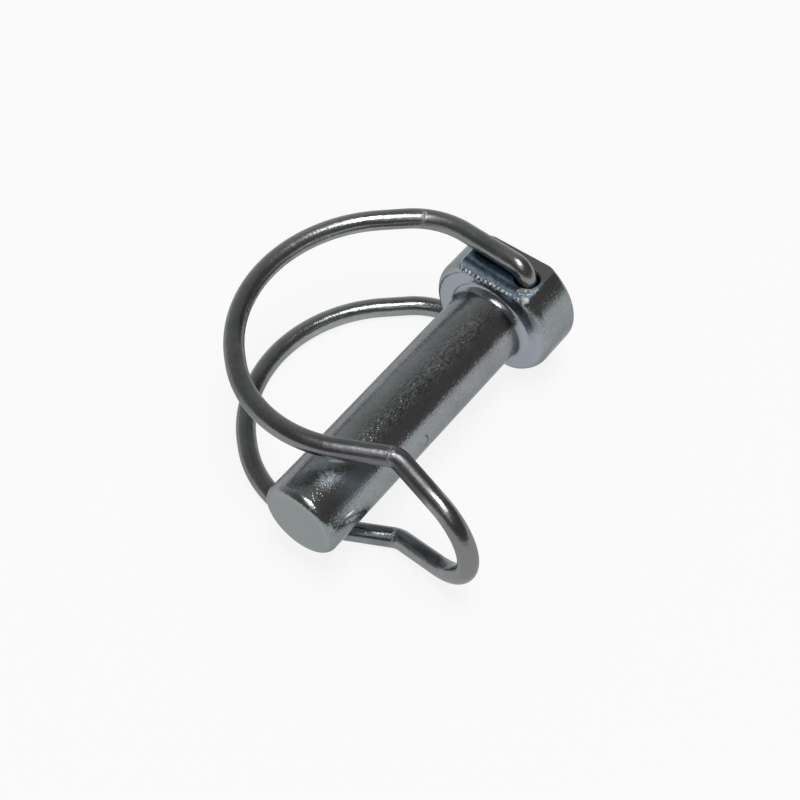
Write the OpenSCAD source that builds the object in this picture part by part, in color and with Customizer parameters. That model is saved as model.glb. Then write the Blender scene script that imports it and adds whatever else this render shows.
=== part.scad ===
// Lynch pin with a double wire bail: a headed steel pin, and one spring wire bent double that swings on a
// cross hole in the pin's head, rings the tube that the pin is put through, and ends in a finger loop.
//
// Frame: the origin is on the pin's axis at the underside of the head. +X runs along the axis towards the
// head, +Y points to the ring side, and +Z is up as the pin lies on the lower arm of its bail.

/* [Pin] */
// Diameter of the shank
shank_d = 12; // [9:0.5:16]
// Length of the shank, from the underside of the head to the tip
shank_len = 44.5; // [38:0.5:60]
// Rounding of the tip's edge
tip_round = 1.2; // [0.3:0.1:1.5]

/* [Head] */
// Height of the head along the pin
head_h = 8; // [7:0.5:12]
// How far the round of the head stands out past the shank
head_rim = 4; // [3.6:0.1:6]
// How far each flat of the head stands out past the shank
flat_rise = 2; // [1.5:0.1:2.6]
// Rounding of the head's top rim
rim_round = 0.8; // [0.3:0.1:1.4]
// Rounding of the rim on the head's underside
under_round = 1.6; // [0.3:0.1:2]
// Fillet between the shank and the head
neck_fillet = 1.2; // [0.4:0.1:1.4]

/* [Cross hole] */
// Distance of the hole from the pin's axis, away from the ring
hole_offset = 3.7; // [2.5:0.1:3.8]
// Clearance all round the wire in the hole
hole_play = 0.35; // [0.2:0.05:0.6]
// Broken edge at both mouths of the hole
hole_chamfer = 0.2; // [0.1:0.05:0.4]

/* [Wire] */
// Diameter of the wire
wire_d = 3; // [2:0.1:3.6]
// Gap between each arm and its flat of the head
arm_gap = 0.4; // [0.2:0.05:0.8]
// How far each end of the wire reaches into the head
end_depth = 5; // [3:0.5:6]
// Radius inside the bend at each end of the wire
end_bend_in = 1; // [0.5:0.1:1.2]
// Length of the arm from the hole to its shoulder
lead_len = 11.5; // [9:0.5:16]
// Slope of the arm from the hole to its shoulder, in degrees
lead_slope = 3.5; // [0:0.5:6]

/* [Ring] */
// Radius inside the bend at the shoulder
shoulder_in = 10.5; // [7:0.5:14]
// Turn at the shoulder, in degrees
shoulder_turn = 45; // [38:1:52]
// Straight run from the shoulder to the ring
shoulder_run = 3.8; // [1:0.2:6]
// Turn of the ring's round back, in degrees
ring_turn = 96; // [90:1:104]
// Straight run from the ring's back to its closing curve
closing_run = 1; // [0.6:0.2:3]
// Radius inside the ring's closing curve, where it comes back under the shank
closing_in = 16.5; // [13:0.5:20]
// Turn of the closing curve, in degrees
closing_turn = 69; // [62:1:75]
// How far the tip of the pin stands out past the wire
tip_past_wire = 4.4; // [2:0.2:9]

/* [Finger loop] */
// Straight run from the ring, past the shank, to the kink
cross_run = 7; // [5:0.2:9]
// Turn at the kink, seen along the hole, in degrees
kink_turn = 37; // [20:1:45]
// Radius inside the bend at the kink
kink_in = 1.3; // [0.8:0.1:3]
// Angle at which each side of the loop leans in towards the other
loop_lean = 16; // [5:1:20]
// Straight run of each side of the loop
loop_run = 7.4; // [4:0.2:9]

/* [Hidden] */
$fn = 96;
steel_zinc = [0.42, 0.44, 0.46];
wire_zinc = [0.36, 0.38, 0.4];
// Overlap that lets a cut break through the face it starts from
cut = 1;
// Each straight run of wire ends this far inside its bends, and is this much thinner, so that they join
lap = 0.1;
lap_step = 0.01;

// Sizes of the head, its flats and the cross hole
head_d = shank_d + 2 * head_rim;
flat_z = shank_d / 2 + flat_rise;
hole_d = wire_d + 2 * hole_play;
hole_x = head_h / 2;
hole_y = -hole_offset;

// Height of each arm's centre line, and the bend radii on the centre line
wire_r = wire_d / 2;
arm_z = flat_z + arm_gap + wire_r;
end_bend_r = end_bend_in + wire_r;
shoulder_r = shoulder_in + wire_r;
closing_r = closing_in + wire_r;
kink_r = kink_in + wire_r;

// Heading of the arm after each bend, in degrees from +Y towards -X
lead_heading = -lead_slope;
ring_heading = lead_heading + shoulder_turn;
closing_heading = ring_heading + ring_turn;

// The ring's radius is the one that brings the wire past the shank at its set distance from the tip
wire_far_x = -shank_len + tip_past_wire + wire_r;
lead_rise = lead_len * sin(lead_slope);
shoulder_fall = shoulder_r * (cos(lead_heading) - cos(ring_heading)) + shoulder_run * sin(ring_heading);
closing_fall = closing_r * (1 + cos(closing_heading)) + closing_run * sin(closing_heading);
ring_fall = hole_x + lead_rise - shoulder_fall - closing_fall - wire_far_x;
ring_r = ring_fall / (cos(ring_heading) - cos(closing_heading));

// The kink turns the wire back along the hole's plane and leans it in, so its bend lies in a tilted plane
kink_bend = acos(cos(loop_lean) * cos(kink_turn));
kink_roll = atan2(-sin(loop_lean), -cos(loop_lean) * sin(kink_turn));
loop_roll = atan2(-cos(kink_roll), -cos(kink_bend) * sin(kink_roll));
kink_fall = -kink_r * (1 - cos(kink_bend)) * sin(kink_roll);

// The loop's round end is the one that meets the other arm halfway
loop_r = (arm_z - kink_fall - loop_run * sin(loop_lean)) / cos(loop_lean);

// Bending list of half the wire, from its end in the hole to the finger loop. Each row gives the straight
// run, the turn of the bending plane, the bend's radius and the bend's angle.
half_wire = [
    [arm_z - end_bend_r - flat_z + end_depth, 0, end_bend_r, 90],
    [lead_len - end_bend_r, 90, shoulder_r, shoulder_turn],
    [shoulder_run, 0, ring_r, ring_turn],
    [closing_run, 0, closing_r, closing_turn],
    [cross_run, kink_roll, kink_r, kink_bend]
];
loop_bend = [loop_run, loop_roll, loop_r, 180 - 2 * loop_lean];

// The other half is the same list read backwards, with the bending plane turned the other way
last_row = len(half_wire) - 1;
to_loop = concat(half_wire, [loop_bend]);
from_loop = [for (i = [last_row : -1 : 0])
    [to_loop[i + 1][0], -to_loop[i + 1][1], to_loop[i][2], to_loop[i][3]]];
whole_wire = concat(to_loop, from_loop);

// Waste that rounds an outer corner of a profile, with the corner at the origin and the body below left
module corner_waste(radius) {
    difference() {
        translate([-radius, -radius]) square(radius + cut);
        translate([-radius, -radius]) circle(radius);
    }
}

// Metal that fills an inner corner, with the corner at the origin and the fill below right
module corner_fill(radius) {
    difference() {
        translate([0, -radius]) square(radius);
        translate([radius, -radius]) circle(radius);
    }
}

// Half section of the turned pin: radius across, length along the axis up
module pin_profile() {
    difference() {
        union() {
            translate([0, -shank_len]) square([shank_d / 2, shank_len + head_h]);
            square([head_d / 2, head_h]);
            translate([shank_d / 2, 0]) corner_fill(neck_fillet);
        }
        translate([shank_d / 2, -shank_len]) mirror([0, 1]) corner_waste(tip_round);
        translate([head_d / 2, 0]) mirror([0, 1]) corner_waste(under_round);
        translate([head_d / 2, head_h]) corner_waste(rim_round);
    }
}

// Waste above the upper flat, which runs past both ends of the head
module flat_waste() {
    translate([-cut, -head_d, flat_z]) cube([head_h + 2 * cut, 2 * head_d, head_d]);
}

// Broken edge at the upper mouth of the cross hole
module mouth_waste() {
    mouth_d = hole_d + 2 * hole_chamfer;
    translate([0, 0, flat_z - hole_chamfer])
        cylinder(h = hole_chamfer + cut, d1 = hole_d, d2 = mouth_d + 2 * cut);
}

// Both flats and the hole, with its two mouths
module head_cuts() {
    for (side = [0, 1]) mirror([0, 0, side]) {
        flat_waste();
        translate([hole_x, hole_y, 0]) mouth_waste();
    }
    translate([hole_x, hole_y, 0]) cylinder(h = head_d, d = hole_d, center = true);
}

// One straight run of the wire along +Z, with a lap where it enters a bend
module wire_run(run, lap_before, lap_after) {
    translate([0, 0, -lap_before]) cylinder(h = run + lap_before + lap_after, r = wire_r - lap_step);
}

// One bend of the wire: it starts at the origin along +Z and turns towards +X
module wire_bend(radius, angle) {
    translate([radius, 0, 0])
        rotate([90, 0, 0])
            rotate(180 - angle)
                rotate_extrude(angle = angle)
                    translate([radius, 0]) circle(wire_r);
}

// The wire from row i of a bending list to its last row, and then the last straight run
module bent_wire(rows, last_run, i = 0) {
    run = rows[i][0];
    radius = rows[i][2];
    angle = rows[i][3];
    wire_run(run, i == 0 ? 0 : lap, lap);
    translate([0, 0, run]) rotate(rows[i][1]) {
        wire_bend(radius, angle);
        translate([radius * (1 - cos(angle)), 0, radius * sin(angle)]) rotate([0, angle, 0]) {
            if (i < len(rows) - 1)
                bent_wire(rows, last_run, i + 1);
            else
                wire_run(last_run, lap, 0);
        }
    }
}

module pin() {
    color(steel_zinc) difference() {
        rotate([0, 90, 0]) rotate_extrude() pin_profile();
        head_cuts();
    }
}

module wire_bail() {
    color(wire_zinc)
        translate([hole_x, hole_y, flat_z - end_depth])
            rotate(90 - lead_slope) bent_wire(whole_wire, whole_wire[0][0]);
}

pin();
wire_bail();
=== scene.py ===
from math import acos, atan2, ceil, cos, degrees, pi, radians, sin, sqrt

import bmesh
import bpy
from mathutils import Matrix, Vector
from mathutils.kdtree import KDTree


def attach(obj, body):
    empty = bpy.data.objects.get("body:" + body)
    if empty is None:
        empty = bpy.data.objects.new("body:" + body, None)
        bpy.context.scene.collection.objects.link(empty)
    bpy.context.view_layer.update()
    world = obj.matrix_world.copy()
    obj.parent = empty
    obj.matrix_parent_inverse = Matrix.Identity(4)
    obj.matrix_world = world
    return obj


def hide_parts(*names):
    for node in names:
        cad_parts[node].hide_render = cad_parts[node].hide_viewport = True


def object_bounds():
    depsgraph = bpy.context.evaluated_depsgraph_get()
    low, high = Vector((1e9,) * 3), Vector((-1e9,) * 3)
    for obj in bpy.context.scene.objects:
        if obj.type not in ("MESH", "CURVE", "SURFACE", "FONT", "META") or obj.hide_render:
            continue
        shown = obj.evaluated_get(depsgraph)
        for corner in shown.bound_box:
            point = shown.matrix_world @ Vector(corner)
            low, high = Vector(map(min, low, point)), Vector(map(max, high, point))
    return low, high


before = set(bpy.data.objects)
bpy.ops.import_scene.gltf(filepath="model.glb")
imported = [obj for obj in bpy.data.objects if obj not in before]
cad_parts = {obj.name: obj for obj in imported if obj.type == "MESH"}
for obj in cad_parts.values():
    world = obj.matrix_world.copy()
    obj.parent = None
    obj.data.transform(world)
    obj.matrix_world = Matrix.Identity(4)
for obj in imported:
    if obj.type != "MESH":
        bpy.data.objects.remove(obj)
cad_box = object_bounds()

# Sizes of the pin, in millimetres
SHANK_R = 6.0
SHANK_LEN = 44.5
TIP_ROUND = 1.2
HEAD_H = 8.0
HEAD_R = 10.0
FLAT_Z = 8.0
RIM_ROUND = 0.8
UNDER_ROUND = 1.6
NECK_FILLET = 1.2
EDGE_INSET = 0.2
EDGE_W = 2 * sqrt(HEAD_R ** 2 - FLAT_Z ** 2) - 2 * EDGE_INSET
HOLE_X = HEAD_H / 2
HOLE_Y = -3.7
HOLE_R = 1.85
HOLE_CHAMFER = 0.2

# The torn burr along the upper flat's edge: its width, the pitch of its teeth, how far a tooth is lifted
# and a notch is sunk, and how far each point is shaken, in millimetres
BURR_W = 0.55
BURR_PITCH = 0.72
BURR_MARGIN = 0.03
TOOTH_SHARE = 0.3
TOOTH_LIFT = (-0.06, 0, 0.12)
NOTCH_SINK = (0.10, 0, -0.10)
BURR_SHAKE = 0.09

# The peened lip of the hole's upper mouth: which way it is pushed, how far, how deep it goes, and the part
# of the mouth that it takes, as a cosine from that way
LIP_WAY = Vector((0.7, 0.71, 0.0))
LIP_PUSH = 0.27
LIP_DEPTH = 0.4
LIP_MARGIN = 0.05
LIP_SPAN = -0.2

# Sizes of the wire, in millimetres and degrees
WIRE_R = 1.5
ARM_GAP = 0.4
ARM_Z = FLAT_Z + ARM_GAP + WIRE_R
END_DEPTH = 5.0
END_BEND_R = 1.0 + WIRE_R
LEAD_LEN = 11.5
LEAD_SLOPE = 3.5
SHOULDER_R = 10.5 + WIRE_R
SHOULDER_TURN = 45.0
SHOULDER_RUN = 3.8
RING_TURN = 96.0
CLOSING_RUN = 1.0
CLOSING_R = 16.5 + WIRE_R
CLOSING_TURN = 69.0
TIP_PAST_WIRE = 4.4
WIRE_FAR_X = -SHANK_LEN + TIP_PAST_WIRE + WIRE_R
CROSS_RUN = 7.0
KINK_TURN = 37.0
KINK_R = 1.3 + WIRE_R
LOOP_LEAN = 16.0
LOOP_RUN = 7.4

# The drawn wire is this much thinner in radius than the solid, so that it stays inside the solid's box
WIRE_SKIN = 0.012

# Places along the wire where the bending tools left a mark across it, in millimetres from its end
PRESS_MARKS = (24.0, 96.9, 135.4)

# Fineness of the meshes
PIN_SIDES = 192
HOLE_SIDES = 96
WIRE_SIDES = 40
RING_STEP = 0.45
FEWEST_BEND_STEPS = 8
MERGE_DISTANCE = 0.0005
SMOOTH_ANGLE = radians(40)

MM = 0.001
FLOOR_Z = cad_box[0][2]

# Tones of the pin's plating, with painted reflections, glints and shade among them
PIN_TONE = (0.266, 0.284, 0.294)
FLAT_BLUE = (0.28, 0.44, 0.62)
FLAT_PALE_BLUE = (0.56, 0.72, 0.86)
FLAT_GREY = (0.25, 0.245, 0.24)
# Painted reflection of the floor on the head's underside; its shaded part is a painted dark reflection
UNDERSIDE_PAINTED_REFLECTION = (0.315, 0.343, 0.380)
UNDERSIDE_SHADE = (0.14, 0.16, 0.18)
# Painted reflection of the floor on the tip's face
TIP_FACE_PAINTED_REFLECTION = (0.298, 0.338, 0.331)
# The haze's pale blue tones are painted reflections over a dull patch
SIDE_HAZE_AND_SHEEN = (0.33, 0.385, 0.44)
TOP_HAZE_AND_SHEEN = (0.46, 0.54, 0.60)
# Bright marks beside the wire: rub marks painted as glints of its reflection
RUB_AND_GLINT_PALE = (0.80, 0.89, 0.93)
SCRATCH_DARK = (0.06, 0.06, 0.06)
LIP_GREY = (0.36, 0.40, 0.39)
LIP_PALE = (0.62, 0.67, 0.65)
NOTCH_DARK = (0.26, 0.30, 0.34)
# Painted glints on the burr's teeth and on the bead at its end
TOOTH_GLINT = (0.95, 0.97, 0.98)
BLOB_GLINT = (0.93, 0.95, 0.96)
PIN_EDGE_TINT = (0.60, 0.60, 0.60)

# Tones of the wire's plating, and factors and tones along its arms that paint light and shade, partly over
# wear
WIRE_TONE = (0.252, 0.260, 0.266)
# Painted light over the ring's top and painted shade round its back
RING_TOP_PAINTED_LIGHT = (1.20, 1.20, 1.19)
RING_BACK_PAINTED_SHADE = (0.70, 0.70, 0.70)
# Painted shade on the lower arm below the pin
BELOW_PIN_SHADE = (0.78, 0.85, 0.86)
# Darker tones of the upper arm: partly wear, partly painted shade
UNDER_FINGER_WEAR_AND_SHADE = (0.208, 0.210, 0.216)
BESIDE_PIN_WEAR_AND_SHADE = (0.168, 0.168, 0.178)
PAST_KINK_WEAR_AND_SHADE = (0.120, 0.121, 0.127)
PRESS_PALE = (0.40, 0.41, 0.43)
WIRE_EDGE_TINT = (0.75, 0.75, 0.75)

# Depths of relief, in metres
GRAIN_RELIEF = 0.00002
PIMPLE_RELIEF = 0.000017
PIN_DRAWN_RELIEF = 0.000012
TORN_RELIEF = 0.00025
WIRE_DRAWN_RELIEF = 0.00002
UNEVEN_RELIEF = 0.00015
PRESS_RELIEF = 0.00005

# Tones of the floor and the room
PAPER_WHITE = (0.93, 0.935, 0.94)
FLOOR_GLOW = 0.86
ROOM_DARK = (0.142, 0.130, 0.123)
WALL_PALE = (0.62, 0.63, 0.62)
SWEEP_WHITE = (0.85, 0.855, 0.86)
WALL_WAY = (0.6, 0.8, -0.55)


# Modelling helpers

def start_new_piece():
    """Leaves nothing selected, so that an operator acts on the new piece alone."""
    bpy.ops.object.select_all(action="DESELECT")


def take_up(piece):
    """Selects one piece alone and makes it the active one."""
    start_new_piece()
    piece.select_set(True)
    bpy.context.view_layer.objects.active = piece


def pick(piece, kind, test):
    """Selects, in edit mode, the piece's verts, edges or faces that pass the test."""
    bpy.ops.mesh.select_mode(type=kind)
    bpy.ops.mesh.select_all(action="DESELECT")
    shape = bmesh.from_edit_mesh(piece.data)
    shape.normal_update()
    parts = {"VERT": shape.verts, "EDGE": shape.edges, "FACE": shape.faces}[kind]
    for part in parts:
        if test(part):
            part.select_set(True)
    shape.select_flush_mode()
    bmesh.update_edit_mesh(piece.data, loop_triangles=False, destructive=False)


def near(value, goal, slack=0.002):
    """True where a value is within a slack of its goal, in millimetres."""
    return abs(value - goal) < slack


def axis_radius(point):
    """Distance of a point from the pin's axis."""
    return sqrt(point.y ** 2 + point.z ** 2)


def over_upper_flat(point):
    """True where the upper flat will cut the head's rim, which stays square there."""
    return point.z > 0 and abs(point.y) < EDGE_W / 2


def on_circle(edge, x, radius):
    """True for an edge of the turned circle at this place along the pin and of this radius."""
    return all(near(v.co.x, x) and near(axis_radius(v.co), radius, 0.01) for v in edge.verts)


def apply_modifier(piece, kind, **settings):
    """Adds a modifier to the piece, sets it and applies it."""
    bpy.context.view_layer.objects.active = piece
    modifier = piece.modifiers.new(kind.lower(), kind)
    for name, value in settings.items():
        setattr(modifier, name, value)
    bpy.ops.object.modifier_apply(modifier=modifier.name)


def close_and_shrink(piece):
    """Merges doubles, turns the faces outwards and takes the piece from millimetres to metres."""
    bpy.ops.object.mode_set(mode="EDIT")
    bpy.ops.mesh.select_all(action="SELECT")
    bpy.ops.mesh.remove_doubles(threshold=MERGE_DISTANCE)
    bpy.ops.mesh.normals_make_consistent(inside=False)
    bpy.ops.transform.resize(value=(MM, MM, MM), center_override=(0, 0, 0))
    bpy.ops.object.mode_set(mode="OBJECT")


# The wire's bending list, which its shape and its finish both follow

def bending_list():
    """Rows of straight run, turn of the bending plane, bend radius and bend angle, in mm and degrees."""
    lead_heading = radians(-LEAD_SLOPE)
    ring_heading = lead_heading + radians(SHOULDER_TURN)
    closing_heading = ring_heading + radians(RING_TURN)
    lead_rise = LEAD_LEN * sin(radians(LEAD_SLOPE))
    shoulder_drop = SHOULDER_R * (cos(lead_heading) - cos(ring_heading))
    shoulder_fall = shoulder_drop + SHOULDER_RUN * sin(ring_heading)
    closing_fall = CLOSING_R * (1 + cos(closing_heading)) + CLOSING_RUN * sin(closing_heading)
    ring_fall = HOLE_X + lead_rise - shoulder_fall - closing_fall - WIRE_FAR_X
    ring_r = ring_fall / (cos(ring_heading) - cos(closing_heading))
    lean, turn = radians(LOOP_LEAN), radians(KINK_TURN)
    kink_bend = acos(cos(lean) * cos(turn))
    kink_roll = atan2(-sin(lean), -cos(lean) * sin(turn))
    loop_roll = atan2(-cos(kink_roll), -cos(kink_bend) * sin(kink_roll))
    kink_fall = -KINK_R * (1 - cos(kink_bend)) * sin(kink_roll)
    loop_r = (ARM_Z - kink_fall - LOOP_RUN * sin(lean)) / cos(lean)
    to_loop = [
        (ARM_Z - END_BEND_R - FLAT_Z + END_DEPTH, 0, END_BEND_R, 90),
        (LEAD_LEN - END_BEND_R, 90, SHOULDER_R, SHOULDER_TURN),
        (SHOULDER_RUN, 0, ring_r, RING_TURN),
        (CLOSING_RUN, 0, CLOSING_R, CLOSING_TURN),
        (CROSS_RUN, degrees(kink_roll), KINK_R, degrees(kink_bend)),
        (LOOP_RUN, degrees(loop_roll), loop_r, 180 - 2 * LOOP_LEAN),
    ]
    backwards = zip(to_loop[-2::-1], to_loop[:0:-1])
    from_loop = [(after[0], -after[1], row[2], row[3]) for row, after in backwards]
    return to_loop + from_loop


def wire_length():
    """Length of the whole wire along its centre line, in millimetres."""
    rows = bending_list()
    return sum(run + radius * radians(angle) for run, _, radius, angle in rows) + rows[0][0]


# Camera, placed by solving the photograph's view

CAMERA_PLACE = Vector((-0.137380, -0.091820, 0.198340))
CAMERA_AIM = Vector((-0.012725, 0.006962, -0.011400))
CAMERA_ROLL = radians(-1.3793)
CAMERA_LENS = 78.7375

bpy.ops.object.camera_add(location=CAMERA_PLACE)
camera = bpy.context.object
camera.name = "photo_camera"
aim = (CAMERA_AIM - CAMERA_PLACE).to_track_quat("-Z", "Y").to_matrix()
camera.rotation_euler = (aim @ Matrix.Rotation(CAMERA_ROLL, 3, "Z")).to_euler()
camera.data.lens = CAMERA_LENS
camera.data.sensor_width = 36.0
camera.data.clip_start = 0.005
bpy.context.scene.camera = camera


# Materials

def node(tree, kind, place, **settings):
    """Adds a shader node. Settings that are socket names set that socket's value."""
    made = tree.nodes.new(kind)
    made.location = place
    for name, value in settings.items():
        if hasattr(made, name):
            setattr(made, name, value)
        else:
            made.inputs[name.replace("_", " ")].default_value = value
    return made


def new_material(name):
    """An empty node material, and its tree."""
    material = bpy.data.materials.new(name)
    material.use_nodes = True
    tree = material.node_tree
    tree.nodes.clear()
    return material, tree


def noise(tree, place, coords, scale, detail, roughness=0.55):
    """A noise texture on these coordinates, from 0 to 1."""
    made = node(tree, "ShaderNodeTexNoise", place, Scale=scale, Detail=detail, Roughness=roughness)
    tree.links.new(coords, made.inputs["Vector"])
    return made.outputs["Fac"]


def remap(tree, place, value, low, high, to_low, to_high):
    """Takes a value's range low to high onto to_low to to_high, without going past either."""
    made = node(tree, "ShaderNodeMapRange", place)
    made.inputs["From Min"].default_value = low
    made.inputs["From Max"].default_value = high
    made.inputs["To Min"].default_value = to_low
    made.inputs["To Max"].default_value = to_high
    tree.links.new(value, made.inputs["Value"])
    return made.outputs["Result"]


def blend_colours(tree, place, share, first, second, blend="MIX"):
    """Mixes or multiplies two colours, each a colour or a link, by a share."""
    made = node(tree, "ShaderNodeMix", place, data_type="RGBA", blend_type=blend)
    tree.links.new(share, made.inputs["Factor"])
    for socket, colour in ((made.inputs[6], first), (made.inputs[7], second)):
        if isinstance(colour, tuple):
            socket.default_value = (*colour, 1)
        else:
            tree.links.new(colour, socket)
    return made.outputs[2]


def combine(tree, place, operation, first, second):
    """One step of arithmetic between two values, each a number or a link."""
    made = node(tree, "ShaderNodeMath", place, operation=operation)
    for socket, value in zip(made.inputs, (first, second)):
        if isinstance(value, (int, float)):
            socket.default_value = value
        else:
            tree.links.new(value, socket)
    return made.outputs[0]


def stretched(tree, place, coords, scale):
    """The coordinates, stretched by a scale along each axis."""
    made = node(tree, "ShaderNodeMapping", place)
    made.inputs["Scale"].default_value = scale
    tree.links.new(coords, made.inputs["Vector"])
    return made.outputs["Vector"]


def spot(tree, place, coords, centre, half_size, turn=(0.0, 0.0, 0.0), soft=0.5):
    """1 inside an ellipsoid, given in millimetres and degrees, and 0 outside it."""
    moved = node(tree, "ShaderNodeMapping", place, vector_type="TEXTURE")
    moved.inputs["Location"].default_value = [MM * c for c in centre]
    moved.inputs["Rotation"].default_value = [radians(t) for t in turn]
    moved.inputs["Scale"].default_value = [MM * h for h in half_size]
    tree.links.new(coords, moved.inputs["Vector"])
    away = node(tree, "ShaderNodeVectorMath", (place[0] + 180, place[1]), operation="LENGTH")
    tree.links.new(moved.outputs["Vector"], away.inputs[0])
    return remap(tree, (place[0] + 360, place[1]), away.outputs["Value"], 1.0 - soft, 1.0, 1.0, 0.0)


def axis_parts(tree, place, coords):
    """The coordinates' three parts, each as a value."""
    made = node(tree, "ShaderNodeSeparateXYZ", place)
    tree.links.new(coords, made.inputs["Vector"])
    return made.outputs["X"], made.outputs["Y"], made.outputs["Z"]


def stretch(tree, place, along, rise, fall):
    """1 over a stretch of a length, reached over its rise and left over its fall, in millimetres."""
    begun = remap(tree, place, along, rise[0] * MM, rise[1] * MM, 0.0, 1.0)
    left = remap(tree, (place[0] + 150, place[1]), along, fall[0] * MM, fall[1] * MM, 1.0, 0.0)
    return combine(tree, (place[0] + 300, place[1]), "MULTIPLY", begun, left)


def zinc_tone(tree, coords, tone, green_amount, speck_amount):
    """Clouded zinc: its tone drifts between dark and light and towards green, with dark and light specks."""
    clouds = noise(tree, (-1500, 700), coords, 170.0, 5.0, 0.6)
    drift = noise(tree, (-1500, 500), stretched(tree, (-1700, 500), coords, (1.0, 1.3, 0.8)), 95.0, 3.0)
    grain = noise(tree, (-1500, 300), coords, 2300.0, 3.0, 0.7)
    dark = tuple(0.88 * c for c in tone)
    light = tuple(1.10 * c for c in tone)
    greenish = (tone[0] * 0.94, tone[1] * 1.03, tone[2] * 0.98)
    cloud_share = remap(tree, (-1300, 700), clouds, 0.35, 0.65, 0.0, 1.0)
    clouded = blend_colours(tree, (-1100, 700), cloud_share, dark, light)
    green_share = remap(tree, (-1300, 500), drift, 0.45, 0.65, 0.0, green_amount)
    tinted = blend_colours(tree, (-900, 600), green_share, clouded, greenish)
    dark_share = remap(tree, (-1300, 300), grain, 0.30, 0.44, speck_amount, 0.0)
    pocked = blend_colours(tree, (-750, 600), dark_share, tinted, tuple(0.45 * c for c in tone))
    light_share = remap(tree, (-1300, 100), grain, 0.58, 0.72, 0.0, speck_amount)
    return blend_colours(tree, (-600, 600), light_share, pocked, tuple(1.75 * c for c in tone)), clouds, grain


def raise_relief(tree, place, height, distance, under=None):
    """Relief of a height map, in metres, laid over an earlier one."""
    made = node(tree, "ShaderNodeBump", place, Strength=1.0, Distance=distance)
    tree.links.new(height, made.inputs["Height"])
    if under is not None:
        tree.links.new(under, made.inputs["Normal"])
    return made.outputs["Normal"]


def plated_metal(tree, colour, roughness, normal, edge_tint):
    """Joins colour, roughness and relief in a metal, which dims to its edge tint at grazing angles."""
    metal = node(tree, "ShaderNodeBsdfPrincipled", (900, 200))
    metal.inputs["Metallic"].default_value = 1.0
    metal.inputs["Specular Tint"].default_value = (*edge_tint, 1)
    tree.links.new(colour, metal.inputs["Base Color"])
    tree.links.new(roughness, metal.inputs["Roughness"])
    tree.links.new(normal, metal.inputs["Normal"])
    out = node(tree, "ShaderNodeOutputMaterial", (1200, 200))
    tree.links.new(metal.outputs["BSDF"], out.inputs["Surface"])


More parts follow.
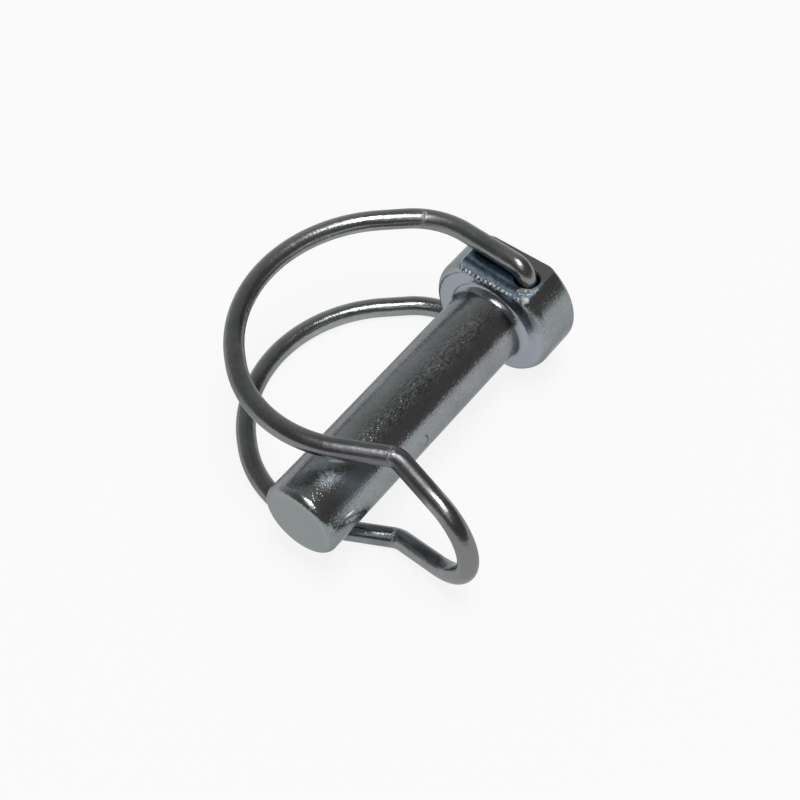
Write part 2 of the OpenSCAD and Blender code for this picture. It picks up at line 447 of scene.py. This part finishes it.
def pin_plate():
    """The pin's finish: bright zinc with a fine speckle, blue-black flats, and wear at the head and tip, with
    painted reflections, glints and shade on the tip, the underside and the burr.
    """
    material, tree = new_material("pin_zinc_plate")
    coords = node(tree, "ShaderNodeTexCoord", (-2000, 0)).outputs["Object"]
    along, across, up = axis_parts(tree, (-1800, -900), coords)
    colour, clouds, grain = zinc_tone(tree, coords, PIN_TONE, 0.4, 0.4)
    pits = noise(tree, (-1500, 0), coords, 1300.0, 4.0, 0.75)
    drawn = noise(tree, (-1500, -200), stretched(tree, (-1700, -200), coords, (0.1, 1.0, 1.0)), 2400.0, 3.0)

    # Coarse grain that the drawing die dragged along the top of the shank, its bright and dark flecks also
    # painted glints along the strip where the shank's highlight ends
    lengthened = stretched(tree, (-1700, -2500), coords, (0.5, 1.0, 1.0))
    dragged = noise(tree, (-1500, -2500), lengthened, 3000.0, 3.0, 0.7)
    grain_glint_tone = remap(tree, (-1300, -2500), dragged, 0.40, 0.60, 0.58, 1.52)
    around = stretch(tree, (-1500, -2650), across, (-3.5, -2.4), (-1.2, 0.8))
    lengthwise = stretch(tree, (-1500, -2800), along, (-36.0, -33.0), (-5.0, -2.0))
    grain_glint_band = combine(tree, (-1000, -2650), "MULTIPLY", around, lengthwise)
    grained_and_glinted = blend_colours(tree, (-500, 700), grain_glint_band, colour, grain_glint_tone, "MULTIPLY")

    # Blue-black flats, greyer towards the top of the head
    height = combine(tree, (-1600, -700), "ABSOLUTE", up, 0.0)
    flats = remap(tree, (-1400, -700), height, 0.00775, 0.00795, 0.0, 1.0)
    towards_top = remap(tree, (-1400, -550), along, 0.0032, 0.0050, 0.0, 1.0)
    mottle = remap(tree, (-1100, 350), pits, 0.40, 0.62, 0.0, 1.0)
    near_blue = blend_colours(tree, (-750, 350), mottle, FLAT_BLUE, FLAT_PALE_BLUE)
    flat_tone = blend_colours(tree, (-600, 350), towards_top, near_blue, FLAT_GREY)
    blued = blend_colours(tree, (-450, 500), flats, grained_and_glinted, flat_tone)

    # Underside of the head painted paler and bluer as a reflection of the floor, with one part painted dark
    # as a reflection of the shank
    under = stretch(tree, (-1400, -400), along, (-0.9, -0.2), (0.1, 0.6))
    shade = spot(tree, (-1500, -450), coords, (0.0, -7.0, 5.2), (1.2, 2.2, 3.0), (-30, 0, 0), 0.7)
    under_reflection_tone = blend_colours(tree, (-450, 350), shade, UNDERSIDE_PAINTED_REFLECTION, UNDERSIDE_SHADE)
    under_reflected = blend_colours(tree, (-300, 500), under, blued, under_reflection_tone)

    # Paler face of the tip, tinted green: a painted reflection of the floor in front of it
    tip = remap(tree, (-1400, -1800), along, -0.0444, -0.0442, 0.75, 0.0)
    tip_reflected = blend_colours(tree, (-225, 500), tip, under_reflected, TIP_FACE_PAINTED_REFLECTION)

    # Dull haze near the tip, its pale blue tone a painted reflection, and bright marks beside the wire: rub
    # marks painted bright as glints of the wire's reflection
    patchy = remap(tree, (-1300, -1650), pits, 0.40, 0.58, 0.35, 1.0)
    top_patch = spot(tree, (-1500, -1700), coords, (-38.4, -1.2, 5.8), (2.9, 2.9, 1.8), (0, 0, 30), 1.0)
    top_haze_and_sheen = combine(tree, (-900, -1700), "MULTIPLY", top_patch, patchy)
    side_haze_and_sheen = spot(tree, (-1500, -1750), coords, (-37.2, -3.9, 4.5), (4.6, 2.8, 2.6), soft=1.0)
    side_sheened = blend_colours(tree, (-225, 350), side_haze_and_sheen, tip_reflected, SIDE_HAZE_AND_SHEEN)
    haze_sheened = blend_colours(tree, (-150, 500), top_haze_and_sheen, side_sheened, TOP_HAZE_AND_SHEEN)
    # Rub marks painted bright as glints of the wire's reflection beside them
    low_rub_glint = spot(tree, (-1500, -1500), coords, (-39.5, -5.9, 0.75), (2.3, 1.5, 0.40), (0, 28, 0), 0.5)
    side_rub_glint = spot(tree, (-1500, -1550), coords, (-40.0, -5.6, 2.1), (1.1, 1.5, 0.22), (0, 10, 0), 0.5)
    top_rub_glint = spot(tree, (-1500, -1600), coords, (-36.3, -0.7, 5.93), (1.4, 0.3, 0.8), (0, 0, -57), 0.5)
    two_rub_glints = combine(tree, (-900, -1500), "MAXIMUM", low_rub_glint, side_rub_glint)
    rub_glints = combine(tree, (-750, -1500), "MAXIMUM", two_rub_glints, top_rub_glint)
    rub_glinted = blend_colours(tree, (0, 500), rub_glints, haze_sheened, RUB_AND_GLINT_PALE)

    # A hooked scratch halfway along the shank
    outer = spot(tree, (-1500, -1900), coords, (-24.0, -5.8, 0.9), (1.25, 4.0, 1.25), soft=0.15)
    inner = spot(tree, (-1500, -2100), coords, (-24.0, -5.8, 0.9), (1.0, 4.0, 1.0), soft=0.15)
    part = spot(tree, (-1500, -2300), coords, (-22.9, -5.8, 0.6), (1.45, 1.45, 1.45), soft=0.4)
    hook = combine(tree, (-900, -1900), "SUBTRACT", outer, inner)
    scratch = combine(tree, (-750, -1900), "MULTIPLY", hook, part)
    scratched = blend_colours(tree, (150, 500), scratch, rub_glinted, SCRATCH_DARK)

    # The peened lip beside the hole, and the toothed burr along the upper flat's edge, whose teeth and end
    # bead are painted bright as glints
    lip = spot(tree, (-1500, -1300), coords, (2.2, -4.9, 8.0), (2.0, 1.1, 0.5), (0, 0, -40), 0.8)
    ragged = remap(tree, (-1300, -100), pits, 0.40, 0.55, 0.0, 1.0)
    ragged_lip = combine(tree, (-900, -1300), "MULTIPLY", lip, ragged)
    greyed = blend_colours(tree, (250, 500), lip, scratched, LIP_GREY)
    lipped = blend_colours(tree, (300, 500), ragged_lip, greyed, LIP_PALE)
    at_edge = remap(tree, (-1400, -900), along, 0.00035, 0.0006, 1.0, 0.0)
    at_top = remap(tree, (-1400, -1100), up, 0.00755, 0.0078, 0.0, 1.0)
    burr = combine(tree, (-1200, -1000), "MULTIPLY", at_edge, at_top)
    phase = combine(tree, (-1400, -1200), "MULTIPLY", across, 2 * pi / (BURR_PITCH * MM))
    shake = combine(tree, (-1400, -1250), "MULTIPLY", pits, 12.0)
    shaken = combine(tree, (-1250, -1200), "ADD", phase, shake)
    wave = combine(tree, (-1100, -1200), "SINE", shaken, 0.0)
    teeth = remap(tree, (-950, -1200), wave, -0.7, 0.2, 0.0, 1.0)
    burr_glints = blend_colours(tree, (300, 300), teeth, NOTCH_DARK, TOOTH_GLINT)
    blob = spot(tree, (-1500, -1250), coords, (0.62, -5.6, 7.8), (0.75, 0.85, 0.5), soft=0.6)
    toothed = blend_colours(tree, (450, 500), burr, lipped, burr_glints)
    torn = blend_colours(tree, (600, 500), blob, toothed, BLOB_GLINT)

    # Smooth plating, rougher at the lip, the burr and the haze
    smooth = remap(tree, (-1300, 200), clouds, 0.3, 0.7, 0.15, 0.22)
    lip_wear = combine(tree, (-300, 150), "MULTIPLY", ragged_lip, 0.30)
    burr_and_blob = combine(tree, (-450, 0), "MAXIMUM", burr, blob)
    burr_wear = combine(tree, (-300, 0), "MULTIPLY", burr_and_blob, 0.48)
    top_wear = combine(tree, (-450, 300), "MULTIPLY", top_haze_and_sheen, 0.36)
    side_wear = combine(tree, (-450, 450), "MULTIPLY", side_haze_and_sheen, 0.22)
    haze_wear = combine(tree, (-300, 300), "MAXIMUM", top_wear, side_wear)
    edge_wear = combine(tree, (-150, 150), "MAXIMUM", lip_wear, burr_wear)
    wear = combine(tree, (-50, 250), "MAXIMUM", haze_wear, edge_wear)
    roughness = combine(tree, (0, 50), "ADD", smooth, wear)

    # Relief: grain, pimples beside the flats, drawing lines, and the torn lip and burr
    speckle = raise_relief(tree, (-900, 0), grain, GRAIN_RELIEF)
    cells = node(tree, "ShaderNodeTexVoronoi", (-1300, -150), Scale=2400.0)
    tree.links.new(coords, cells.inputs["Vector"])
    pimples = remap(tree, (-1100, -150), cells.outputs["Distance"], 0.08, 0.40, 1.0, 0.0)
    beside_flats = remap(tree, (-1100, -300), flats, 0.0, 1.0, 1.0, 0.15)
    dots = combine(tree, (-900, -150), "MULTIPLY", pimples, beside_flats)
    pitted = raise_relief(tree, (-700, 0), dots, PIMPLE_RELIEF, speckle)
    streaked = raise_relief(tree, (-500, 0), drawn, PIN_DRAWN_RELIEF, pitted)
    tear = combine(tree, (-650, -300), "MULTIPLY", burr, teeth)
    pitted_lip = combine(tree, (-650, -400), "MULTIPLY", ragged_lip, pits)
    rough_edge = combine(tree, (-500, -300), "MAXIMUM", tear, pitted_lip)
    torn_relief = raise_relief(tree, (-300, -300), rough_edge, TORN_RELIEF, streaked)
    plated_metal(tree, torn, roughness, torn_relief, PIN_EDGE_TINT)
    return material


def wire_plate():
    """The wire's finish: zinc with fine drawing lines, rougher where rubbing wears it, painted light and
    shade along its arms, and marked at its bends.
    """
    material, tree = new_material("wire_zinc_plate")
    straight = node(tree, "ShaderNodeAttribute", (-2000, 0), attribute_name="straight_wire")
    coords = straight.outputs["Vector"]
    along, _, _ = axis_parts(tree, (-1800, -900), coords)
    colour, clouds, grain = zinc_tone(tree, coords, WIRE_TONE, 0.5, 0.3)
    drawn = noise(tree, (-1500, 0), stretched(tree, (-1700, 0), coords, (0.06, 1.0, 1.0)), 2600.0, 3.0)
    dull = noise(tree, (-1500, -200), stretched(tree, (-1700, -200), coords, (0.5, 1.0, 1.0)), 150.0, 3.0)

    # Both arms alike: painted light over the top of the ring, painted shade round its back
    from_far_end = combine(tree, (-1700, -700), "SUBTRACT", wire_length() * MM, along)
    on_arm = combine(tree, (-1550, -700), "MINIMUM", along, from_far_end)
    ring_top_lit = stretch(tree, (-1400, -700), on_arm, (29, 34), (42, 48))
    ring_back_shaded = stretch(tree, (-1400, -800), on_arm, (48, 62), (74, 84))
    brighter = blend_colours(tree, (-600, 350), ring_top_lit, colour, RING_TOP_PAINTED_LIGHT, "MULTIPLY")
    darker = blend_colours(tree, (-500, 350), ring_back_shaded, brighter, RING_BACK_PAINTED_SHADE, "MULTIPLY")

    # The upper arm is rougher where rubbing wears it beside the pin and past its kink, and darker there and
    # under the finger: partly wear, partly painted shade that takes away its highlight. The lower arm is
    # darker, with a green tint, where it runs below the pin: painted shade.
    beside_pin_wear_and_shade = stretch(tree, (-1400, -500), along, (80, 90), (103.5, 105.5))
    past_kink_wear_and_shade = stretch(tree, (-1400, -575), along, (97.5, 99.5), (103.5, 105.5))
    under_finger_wear_and_shade = stretch(tree, (-1400, -650), along, (107.5, 109.0), (118.0, 124.0))
    beside_wear = combine(tree, (-1000, -500), "MULTIPLY", beside_pin_wear_and_shade, 0.08)
    kink_wear = combine(tree, (-1000, -575), "MULTIPLY", past_kink_wear_and_shade, 0.20)
    wear = combine(tree, (-850, -500), "MAXIMUM", beside_wear, kink_wear)
    # Painted shade: the lower arm is darkened, with a green tint, where it runs below the pin
    below_pin_shaded = stretch(tree, (-1400, -725), along, (134.5, 136.5), (147.0, 151.0))
    shaded_below_pin = blend_colours(tree, (-500, 500), below_pin_shaded, darker, BELOW_PIN_SHADE, "MULTIPLY")
    finger_wear_and_shade = blend_colours(tree, (-450, 500), under_finger_wear_and_shade, shaded_below_pin, UNDER_FINGER_WEAR_AND_SHADE)
    beside_pin_dulled_and_shaded = blend_colours(tree, (-400, 500), beside_pin_wear_and_shade, finger_wear_and_shade, BESIDE_PIN_WEAR_AND_SHADE)
    kink_dulled_and_shaded = blend_colours(tree, (-350, 500), past_kink_wear_and_shade, beside_pin_dulled_and_shaded, PAST_KINK_WEAR_AND_SHADE)

    # Ragged marks that the bending tools pressed across the wire
    marks = None
    for i, place in enumerate(PRESS_MARKS):
        row = -1100 - 150 * i
        from_mark = combine(tree, (-1600, row), "SUBTRACT", along, place * MM)
        away = combine(tree, (-1450, row), "ABSOLUTE", from_mark, 0.0)
        mark = remap(tree, (-1300, row), away, 0.0001, 0.0005, 1.0, 0.0)
        marks = mark if marks is None else combine(tree, (-1150, row), "MAXIMUM", marks, mark)
    ragged = remap(tree, (-1300, -400), grain, 0.45, 0.62, 0.0, 1.0)
    press = combine(tree, (-900, -1000), "MULTIPLY", marks, ragged)
    marked = blend_colours(tree, (-300, 500), press, kink_dulled_and_shaded, PRESS_PALE)

    drift = remap(tree, (-1200, -200), dull, 0.38, 0.62, 0.16, 0.30)
    roughness = combine(tree, (-1000, -200), "ADD", drift, wear)
    speckle = raise_relief(tree, (-900, 0), grain, GRAIN_RELIEF)
    streaked = raise_relief(tree, (-700, 0), drawn, WIRE_DRAWN_RELIEF, speckle)
    uneven = raise_relief(tree, (-500, 0), clouds, UNEVEN_RELIEF, streaked)
    pressed = raise_relief(tree, (-300, 0), press, PRESS_RELIEF, uneven)
    plated_metal(tree, marked, roughness, pressed, WIRE_EDGE_TINT)
    return material


pin_zinc = pin_plate()
wire_zinc = wire_plate()


# The pin: shank, head, flats and cross hole

def turn_pin():
    """The turned blank: a bar whose end is drawn out into the head, with its rounded edges."""
    start_new_piece()
    bpy.ops.mesh.primitive_cylinder_add(
        vertices=PIN_SIDES, radius=SHANK_R, depth=SHANK_LEN, end_fill_type="NGON",
        location=(-SHANK_LEN / 2, 0, 0), rotation=(0, pi / 2, 0))
    pin = bpy.context.object
    pin.name = "headed_pin"
    bpy.ops.object.transform_apply(location=True, rotation=True, scale=True)
    bpy.ops.object.mode_set(mode="EDIT")
    pick(pin, "FACE", lambda f: f.normal.x > 0.9)
    bpy.ops.mesh.extrude_region_move()
    spread = HEAD_R / SHANK_R
    bpy.ops.transform.resize(value=(1, spread, spread), center_override=(0, 0, 0))
    bpy.ops.mesh.extrude_region_move(TRANSFORM_OT_translate={"value": (HEAD_H, 0, 0)})
    pick(pin, "EDGE", lambda e: on_circle(e, 0, SHANK_R))
    bpy.ops.mesh.bevel(offset=NECK_FILLET, segments=8, clamp_overlap=False)
    pick(pin, "EDGE", lambda e: on_circle(e, -SHANK_LEN, SHANK_R))
    bpy.ops.mesh.bevel(offset=TIP_ROUND, segments=8, clamp_overlap=False)
    pick(pin, "EDGE", lambda e: on_circle(e, HEAD_H, HEAD_R))
    bpy.ops.mesh.bevel(offset=RIM_ROUND, segments=6, clamp_overlap=False)
    pick(pin, "EDGE", lambda e: (on_circle(e, 0, HEAD_R)
                                 and not all(over_upper_flat(v.co) for v in e.verts)))
    bpy.ops.mesh.bevel(offset=UNDER_ROUND, segments=10, clamp_overlap=False)
    return pin


def press_flats(pin):
    """Cuts both flats, and leaves a torn, toothed burr along the upper flat's edge towards the shank."""
    for side in (1, -1):
        bpy.ops.mesh.select_all(action="SELECT")
        bpy.ops.mesh.bisect(plane_co=(0, 0, side * FLAT_Z), plane_no=(0, 0, side), use_fill=True,
                            clear_outer=True, threshold=0.0001)

    def upper_edge(edge):
        return all(near(v.co.z, FLAT_Z) and near(v.co.x, 0, 0.01) for v in edge.verts)

    def inside_burr(vert):
        return (BURR_MARGIN < vert.co.x < BURR_W - BURR_MARGIN
                and FLAT_Z - BURR_W + BURR_MARGIN < vert.co.z < FLAT_Z - BURR_MARGIN)

    def tooth_wave(vert):
        return sin(2 * pi * vert.co.y / BURR_PITCH)

    pick(pin, "EDGE", upper_edge)
    bpy.ops.mesh.bevel(offset=BURR_W, segments=4, clamp_overlap=False)
    pick(pin, "VERT", lambda v: inside_burr(v) and tooth_wave(v) > TOOTH_SHARE)
    bpy.ops.transform.translate(value=TOOTH_LIFT)
    pick(pin, "VERT", lambda v: inside_burr(v) and tooth_wave(v) < -TOOTH_SHARE)
    bpy.ops.transform.translate(value=NOTCH_SINK)
    pick(pin, "VERT", inside_burr)
    bpy.ops.transform.vertex_random(offset=BURR_SHAKE, uniform=0.8, normal=0.4, seed=7)
    bpy.ops.object.mode_set(mode="OBJECT")


def drill_hole(pin):
    """Takes the cross hole out of the head, with a broken edge at both mouths."""
    start_new_piece()
    bpy.ops.mesh.primitive_cylinder_add(
        vertices=HOLE_SIDES, radius=HOLE_R, depth=2 * (FLAT_Z - HOLE_CHAMFER), end_fill_type="NGON",
        location=(HOLE_X, HOLE_Y, 0))
    drill = bpy.context.object
    bpy.ops.object.transform_apply(location=True, rotation=True, scale=True)
    bpy.ops.object.mode_set(mode="EDIT")
    flare = 1.0
    for side in (1, -1):
        pick(drill, "FACE", lambda f: side * f.normal.z > 0.9)
        bpy.ops.mesh.extrude_region_move(TRANSFORM_OT_translate={"value": (0, 0, side * flare)})
        widen = (HOLE_R + flare) / HOLE_R
        bpy.ops.transform.resize(value=(widen, widen, 1), center_override=(HOLE_X, HOLE_Y, 0))
    bpy.ops.object.mode_set(mode="OBJECT")
    apply_modifier(pin, "BOOLEAN", operation="DIFFERENCE", object=drill, solver="EXACT")
    bpy.data.objects.remove(drill)


def peen_mouth(pin):
    """Pushes the near lip of the upper mouth in towards the wire, as the wire's own bending leaves it."""
    take_up(pin)
    bpy.ops.object.mode_set(mode="EDIT")

    def near_lip(vert):
        out = Vector((vert.co.x - HOLE_X, vert.co.y - HOLE_Y, 0.0))
        return (HOLE_R - LIP_MARGIN < out.length < HOLE_R + HOLE_CHAMFER + LIP_MARGIN
                and vert.co.z > FLAT_Z - LIP_DEPTH and out.normalized().dot(LIP_WAY) < LIP_SPAN)

    pick(pin, "VERT", near_lip)
    bpy.ops.transform.translate(value=LIP_PUSH * LIP_WAY)
    bpy.ops.object.mode_set(mode="OBJECT")


def finish_pin(pin):
    """Closes and smooths the pin, and plates it."""
    take_up(pin)
    close_and_shrink(pin)
    bpy.ops.object.shade_smooth_by_angle(angle=SMOOTH_ANGLE)
    apply_modifier(pin, "WEIGHTED_NORMAL", keep_sharp=True, weight=50)
    pin.data.materials.clear()
    pin.data.materials.append(pin_zinc)


pin = turn_pin()
press_flats(pin)
drill_hole(pin)
peen_mouth(pin)
finish_pin(pin)


# The wire: one length, bent by its bending list

def bend_wire():
    """Draws one wire through its bends: straight runs by extruding its end, and bends by spinning it."""
    rows = bending_list()
    place = Vector((HOLE_X, HOLE_Y, FLAT_Z - END_DEPTH))
    axes = Matrix.Rotation(radians(90 - LEAD_SLOPE), 3, "Z")
    untwisted = axes.copy()
    centre_line = []
    length = 0.0
    start_new_piece()
    bpy.ops.mesh.primitive_circle_add(
        vertices=WIRE_SIDES, radius=WIRE_R - WIRE_SKIN, fill_type="NGON", location=place)
    wire = bpy.context.object
    wire.name = "wire_bail_bent"
    bpy.ops.object.transform_apply(location=True, rotation=True, scale=True)
    bpy.ops.object.mode_set(mode="EDIT")
    bpy.ops.mesh.select_mode(type="FACE")
    bpy.ops.mesh.select_all(action="SELECT")

    def run_straight(run):
        nonlocal place, length
        steps = max(1, ceil(run / RING_STEP))
        step = axes.col[2] * (run / steps)
        for _ in range(steps):
            centre_line.append((place.copy(), untwisted.copy(), length))
            bpy.ops.mesh.extrude_region_move(TRANSFORM_OT_translate={"value": step})
            place = place + step
            length += run / steps

    for run, roll, radius, angle in rows:
        run_straight(run)
        axes = axes @ Matrix.Rotation(radians(roll), 3, "Z")
        centre = place + axes.col[0] * radius
        bend_axis = axes.col[1].copy()
        arc = radius * radians(angle)
        steps = max(FEWEST_BEND_STEPS, ceil(arc / RING_STEP))
        bpy.ops.mesh.spin(steps=steps, angle=-radians(angle), center=centre, axis=bend_axis)
        step = Matrix.Rotation(radians(angle) / steps, 3, bend_axis)
        for _ in range(steps):
            centre_line.append((place.copy(), untwisted.copy(), length))
            place = centre + step @ (place - centre)
            axes = step @ axes
            untwisted = step @ untwisted
            length += arc / steps
    run_straight(rows[0][0])
    centre_line.append((place.copy(), untwisted.copy(), length))
    bpy.ops.object.mode_set(mode="OBJECT")
    return wire, centre_line


def straighten(wire, centre_line):
    """Keeps on each point where it lies on the straight wire: its length along it and place across it."""
    tree = KDTree(len(centre_line))
    for i, (place, _, _) in enumerate(centre_line):
        tree.insert(place, i)
    tree.balance()
    values = []
    for vertex in wire.data.vertices:
        _, i, _ = tree.find(vertex.co)
        place, axes, length = centre_line[i]
        offset = axes.transposed() @ (vertex.co - place)
        values.extend(((length + offset.z) * MM, offset.x * MM, offset.y * MM))
    attribute = wire.data.attributes.new("straight_wire", "FLOAT_VECTOR", "POINT")
    attribute.data.foreach_set("vector", values)


def finish_wire(wire, centre_line):
    """Notes the wire's lengths, closes and smooths it, and plates it."""
    take_up(wire)
    straighten(wire, centre_line)
    close_and_shrink(wire)
    bpy.ops.object.shade_smooth_by_angle(angle=SMOOTH_ANGLE)
    wire.data.materials.append(wire_zinc)


wire, centre_line = bend_wire()
finish_wire(wire, centre_line)

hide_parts("pin")
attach(pin, "pin")
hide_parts("wire_bail")
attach(wire, "bail")


# Floor and light

def lay_floor():
    """A white sheet, which the camera and the metal see a little whiter than the light makes it."""
    start_new_piece()
    bpy.ops.mesh.primitive_plane_add(size=30.0, location=(0, 0, FLOOR_Z))
    floor = bpy.context.object
    floor.name = "pale_floor"
    material, tree = new_material("pale_floor_paper")
    paper = node(tree, "ShaderNodeBsdfDiffuse", (0, 200))
    paper.inputs["Color"].default_value = (*PAPER_WHITE, 1)
    white = node(tree, "ShaderNodeEmission", (0, 0))
    white.inputs["Color"].default_value = (1.0, 1.0, 1.0, 1)
    white.inputs["Strength"].default_value = 1.0
    ray = node(tree, "ShaderNodeLightPath", (-800, 0))
    seen = combine(tree, (-600, 0), "ADD", ray.outputs["Is Camera Ray"], ray.outputs["Is Glossy Ray"])
    seen_through = combine(tree, (-400, 0), "ADD", seen, ray.outputs["Is Transmission Ray"])
    share = remap(tree, (-200, 0), seen_through, 0.0, 1.0, 0.0, FLOOR_GLOW)
    mixed = node(tree, "ShaderNodeMixShader", (200, 100))
    tree.links.new(share, mixed.inputs["Fac"])
    tree.links.new(paper.outputs["BSDF"], mixed.inputs[1])
    tree.links.new(white.outputs["Emission"], mixed.inputs[2])
    out = node(tree, "ShaderNodeOutputMaterial", (400, 100))
    tree.links.new(mixed.outputs["Shader"], out.inputs["Surface"])
    floor.data.materials.append(material)


def hang_lamp(name, azimuth, elevation, distance, size, turn, radiance, colour):
    """An area lamp that faces the object from a direction, of a radiance that its power follows from."""
    centre = Vector((-0.018, 0.002, 0.0))
    a, e = radians(azimuth), radians(elevation)
    place = centre + distance * Vector((cos(e) * cos(a), cos(e) * sin(a), sin(e)))
    bpy.ops.object.light_add(type="AREA", location=place)
    lamp = bpy.context.object
    lamp.name = name
    lamp.data.shape = "ELLIPSE"
    lamp.data.size, lamp.data.size_y = size
    area = pi * size[0] * size[1] / 4
    lamp.data.energy = radiance * pi * area
    lamp.data.color = colour
    facing = (centre - place).to_track_quat("-Z", "Y").to_matrix()
    lamp.rotation_euler = (facing @ Matrix.Rotation(radians(turn), 3, "Z")).to_euler()
    lamp.visible_camera = False


def dim_room():
    """A dark warm room with one pale wall, above a low white sweep that carries the floor up."""
    world = bpy.data.worlds.new("dim_room")
    world.use_nodes = True
    bpy.context.scene.world = world
    tree = world.node_tree
    tree.nodes.clear()
    direction = node(tree, "ShaderNodeTexCoord", (-800, 0)).outputs["Generated"]
    towards = node(tree, "ShaderNodeVectorMath", (-600, 0), operation="DOT_PRODUCT")
    towards.inputs[1].default_value = WALL_WAY
    tree.links.new(direction, towards.inputs[0])
    wall = remap(tree, (-400, 0), towards.outputs["Value"], -0.35, 1.0, 0.0, 1.0)
    _, left, above = axis_parts(tree, (-600, -300), direction)
    corner = remap(tree, (-400, -300), left, -0.20, -0.04, 0.0, 1.0)
    share = combine(tree, (-300, -150), "MULTIPLY", wall, corner)
    room = blend_colours(tree, (-200, 0), share, ROOM_DARK, WALL_PALE)
    sweep = remap(tree, (-200, -300), above, 0.03, 0.09, 1.0, 0.0)
    swept = blend_colours(tree, (0, 0), sweep, room, SWEEP_WHITE)
    background = node(tree, "ShaderNodeBackground", (200, 0))
    tree.links.new(swept, background.inputs["Color"])
    out = node(tree, "ShaderNodeOutputWorld", (400, 0))
    tree.links.new(background.outputs["Background"], out.inputs["Surface"])


lay_floor()
hang_lamp("key_softbox", -112, 80, 1.2, (0.71, 0.51), 52, 8.9, (1.0, 0.995, 0.985))
hang_lamp("side_softbox", -152, 52, 1.2, (0.66, 0.66), 0, 0.8, (0.97, 0.98, 1.0))
dim_room()
bpy.context.scene.view_settings.view_transform = "Standard"

bpy.context.view_layer.update()
